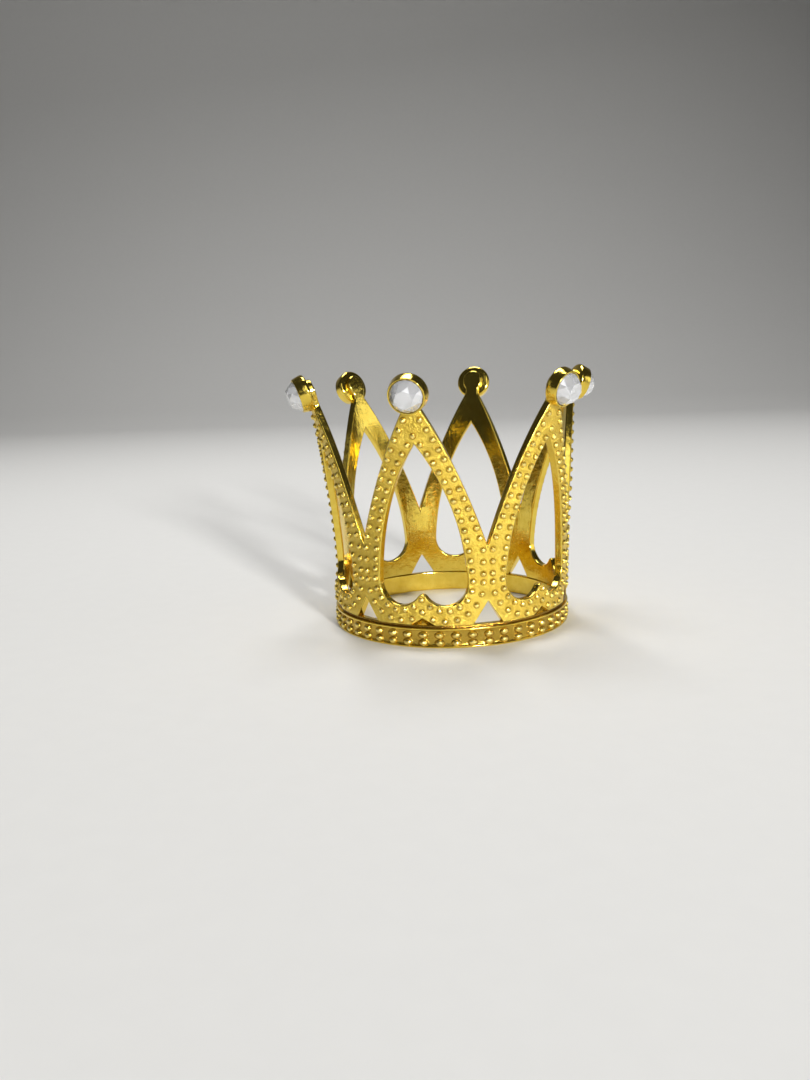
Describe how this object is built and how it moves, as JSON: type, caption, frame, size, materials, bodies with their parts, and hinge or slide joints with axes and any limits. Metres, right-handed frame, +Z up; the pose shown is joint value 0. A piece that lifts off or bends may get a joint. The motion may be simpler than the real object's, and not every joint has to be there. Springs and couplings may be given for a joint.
{
  "type": "miniature cast metal crown with clear stones",
  "caption": "Small flared cast crown with a gold-coloured finish: a beaded base ring carries pointed openwork loops, each ending in a round cup that holds a clear faceted stone.",
  "frame": {"origin": "centre of the base ring's underside, on the crown's axis", "axes": "+Z up along the crown's axis, -Y towards the first point"},
  "size_m": [0.0532, 0.0604, 0.0476],
  "materials": {
    "gold_plate": "bright yellow gold plating over a cast body, satin on the outer faces between polished beads, glossy inside",
    "clear_stone": "clear faceted rhinestone with a silvered back"
  },
  "bodies": {
    "root": {"crown_body": "gold_plate", "stone_1": "clear_stone", "stone_2": "clear_stone", "stone_3": "clear_stone", "stone_4": "clear_stone", "stone_5": "clear_stone", "stone_6": "clear_stone"}
  },
  "joints": []
}
